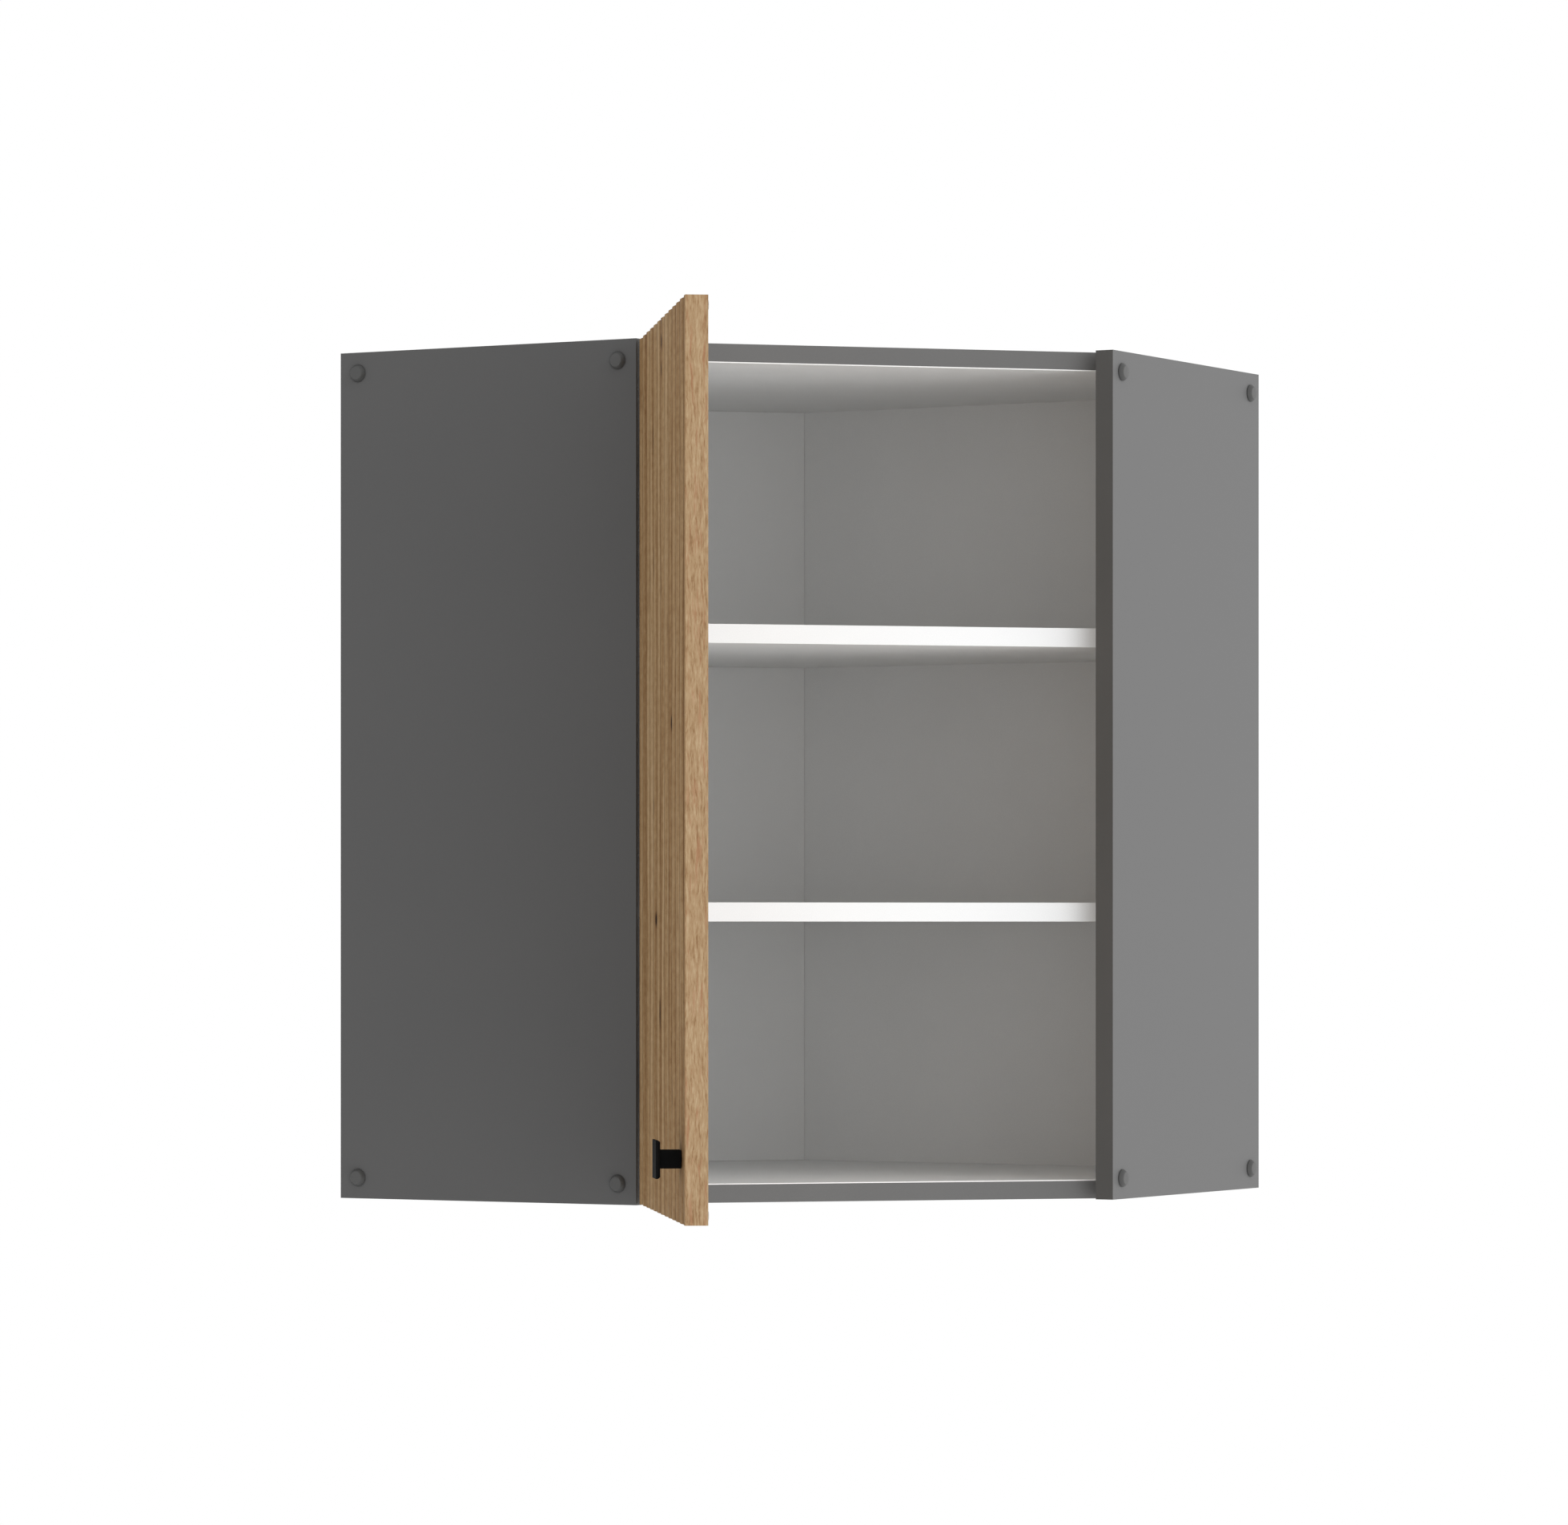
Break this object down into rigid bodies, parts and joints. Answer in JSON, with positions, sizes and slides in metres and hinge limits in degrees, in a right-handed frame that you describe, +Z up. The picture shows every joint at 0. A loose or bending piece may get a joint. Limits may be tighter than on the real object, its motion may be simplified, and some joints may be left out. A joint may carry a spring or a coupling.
{
  "type": "corner wall cabinet",
  "caption": "Diagonal corner wall cabinet with loose shelves, grey sides, a fluted oak door on concealed hinges, a square black knob and adjustable wall hangers.",
  "frame": {"origin": "foot of the cut rear corner: the middle of the rear board's outer face at the height of the cabinet's bottom", "axes": "+Z up; +Y from the diagonal front towards the room corner, 77 mm behind the origin; +X to the right along the front, seen from the room"},
  "size_m": [0.8244, 0.9261, 0.715],
  "materials": {
    "grey_board": "melamine-faced chipboard, grey outside and white inside, matt with a fine pore",
    "white_board": "white melamine-faced chipboard, matt",
    "back_sheet": "white-faced hardboard, smooth matt",
    "oak_front": "artisan oak decor with vertical grain, cracks and knots, satin",
    "black_knob": "matt black powder coat",
    "grey_cap": "moulded grey plastic",
    "hinge_steel": "nickel-plated pressed steel",
    "pin_steel": "nickel-plated turned steel",
    "cam_metal": "cast zinc alloy",
    "screw_steel": "zinc-plated steel",
    "hanger_plastic": "white moulded plastic",
    "hook_steel": "zinc-plated pressed steel",
    "clear_bumper": "soft translucent rubber"
  },
  "bodies": {
    "cabinet": {"side_left": "grey_board", "side_right": "grey_board", "top_panel": "grey_board", "bottom_panel": "grey_board", "rear_board": "white_board", "back_sheet_left": "back_sheet", "back_sheet_right": "back_sheet", "shelf_lower": "white_board", "shelf_upper": "white_board", "shelf_pin_lower_1": "pin_steel", "shelf_pin_lower_2": "pin_steel", "shelf_pin_lower_3": "pin_steel", "shelf_pin_lower_4": "pin_steel", "shelf_pin_upper_1": "pin_steel", "shelf_pin_upper_2": "pin_steel", "shelf_pin_upper_3": "pin_steel", "shelf_pin_upper_4": "pin_steel", "cam_top_1": "cam_metal", "cam_top_2": "cam_metal", "cam_top_3": "cam_metal", "cam_top_4": "cam_metal", "cam_bottom_1": "cam_metal", "cam_bottom_2": "cam_metal", "cam_bottom_3": "cam_metal", "cam_bottom_4": "cam_metal", "cover_cap_left_1": "grey_cap", "cover_cap_left_2": "grey_cap", "cover_cap_left_3": "grey_cap", "cover_cap_left_4": "grey_cap", "cover_cap_right_1": "grey_cap", "cover_cap_right_2": "grey_cap", "cover_cap_right_3": "grey_cap", "cover_cap_right_4": "grey_cap", "hinge_screw_upper_1": "screw_steel", "hinge_screw_upper_2": "screw_steel", "hinge_screw_lower_1": "screw_steel", "hinge_screw_lower_2": "screw_steel", "hinge_plate_upper": "hinge_steel", "hinge_arm_upper": "hinge_steel", "hinge_plate_lower": "hinge_steel", "hinge_arm_lower": "hinge_steel", "hanger_housing_left": "hanger_plastic", "hanger_housing_right": "hanger_plastic"},
    "door": {"door_panel": "oak_front", "door_knob": "black_knob", "knob_screw": "screw_steel", "door_bumper_upper": "clear_bumper", "door_bumper_lower": "clear_bumper", "hinge_cup_upper": "hinge_steel", "hinge_cup_lower": "hinge_steel"},
    "outer_links": {"hinge_outer_link_upper": "hinge_steel", "hinge_outer_link_lower": "hinge_steel"},
    "inner_links": {"hinge_inner_link_upper": "hinge_steel", "hinge_inner_link_lower": "hinge_steel"},
    "hook_left": {"hanger_hook_left": "hook_steel"},
    "hook_right": {"hanger_hook_right": "hook_steel"}
  },
  "joints": [
    {"name": "door_swing", "type": "hinge", "parent": "cabinet", "child": "door", "pos_m": [-0.20304, -0.5304, 0.3575], "axis": [0, 0, -1], "range_deg": [-99.5, 4.4]},
    {"name": "outer_link_turn", "type": "hinge", "parent": "cabinet", "child": "outer_links", "pos_m": [-0.18986, -0.50601, 0.3575], "axis": [0, 0, -1], "range_deg": [-99.5, 4.4]},
    {"name": "inner_link_turn", "type": "hinge", "parent": "door", "child": "inner_links", "pos_m": [-0.19462, -0.55226, 0.3575], "axis": [0, 0, -1], "range_deg": [-4.4, 99.5]},
    {"name": "hook_left_slide", "type": "slide", "parent": "cabinet", "child": "hook_left", "axis": [-0.7071, 0.7071, 0], "range_m": [0, 0.01]},
    {"name": "hook_right_slide", "type": "slide", "parent": "cabinet", "child": "hook_right", "axis": [0.7071, 0.7071, 0], "range_m": [0, 0.01]}
  ],
  "couplings": [
    {"joint": "outer_link_turn", "follows": "door_swing", "ratio": 1},
    {"joint": "inner_link_turn", "follows": "door_swing", "ratio": -1}
  ]
}
